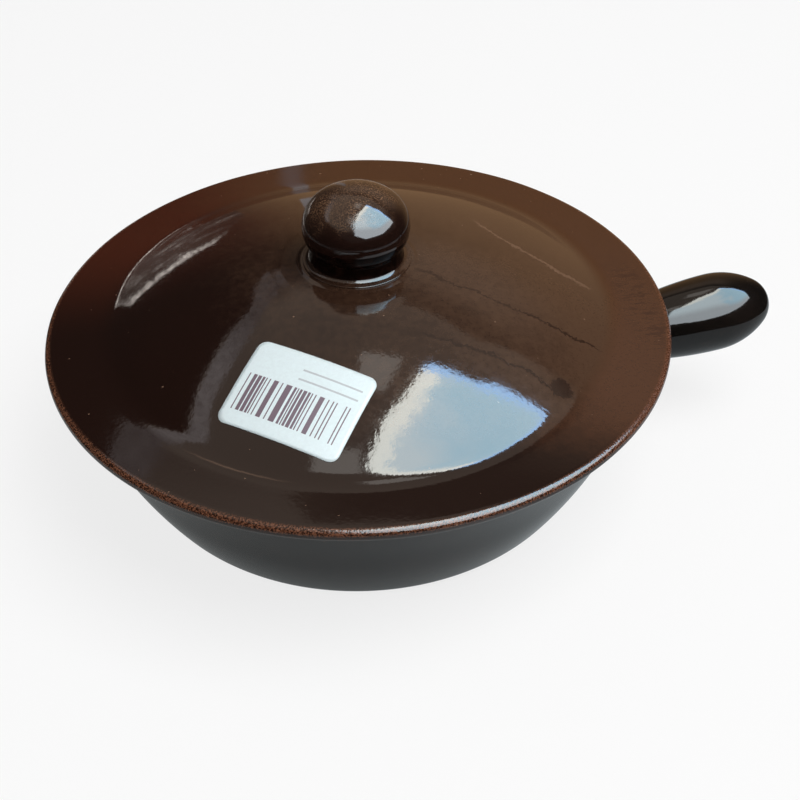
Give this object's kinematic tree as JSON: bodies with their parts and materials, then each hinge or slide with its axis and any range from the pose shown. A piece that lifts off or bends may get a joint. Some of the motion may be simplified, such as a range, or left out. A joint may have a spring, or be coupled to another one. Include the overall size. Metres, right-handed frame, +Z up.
{
  "type": "casserole pot",
  "caption": "Round glazed earthenware pan with a bowed wall, a stub club handle and a domed lift-off lid with a flattened ball knob.",
  "frame": {"origin": "centre of the bowl's flat base, on the table", "axes": "+Z up through the middle of the lid's knob, +X along the handle"},
  "size_m": [0.2486, 0.206, 0.1027],
  "materials": {
    "pot_glaze": "gloss",
    "lid_glaze": "gloss",
    "label_paper": "satin"
  },
  "bodies": {
    "pan": {"pan_bowl": "pot_glaze", "pan_handle": "pot_glaze"},
    "lid": {"lid_plate": "lid_glaze", "lid_knob": "lid_glaze", "price_label": "label_paper"}
  },
  "joints": [
    {"name": "lid_lift", "type": "slide", "parent": "pan", "child": "lid", "axis": [0, 0, 1], "range_m": [0, 0.12]}
  ]
}
